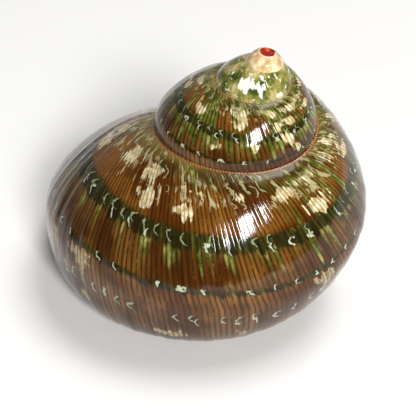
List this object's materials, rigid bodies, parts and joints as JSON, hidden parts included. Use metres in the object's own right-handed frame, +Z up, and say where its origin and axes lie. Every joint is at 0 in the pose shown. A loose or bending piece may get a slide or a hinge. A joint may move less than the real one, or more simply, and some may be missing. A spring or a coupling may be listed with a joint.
{
  "type": "turban shell",
  "caption": "Polished turban snail shell, coiled and hollow, that stands on its base and the rim of its mouth with the spire up.",
  "frame": {"origin": "middle of the bounding box, on the surface that the shell stands on", "axes": "+Z up; +X across the shell's widest direction, with the mouth to -X and +Y; -Y is the front of the last whorl; the spire leans to +X"},
  "size_m": [0.0558, 0.052, 0.0486],
  "materials": {
    "shell": "polished"
  },
  "bodies": {
    "root": {"shell": "shell"}
  },
  "joints": []
}
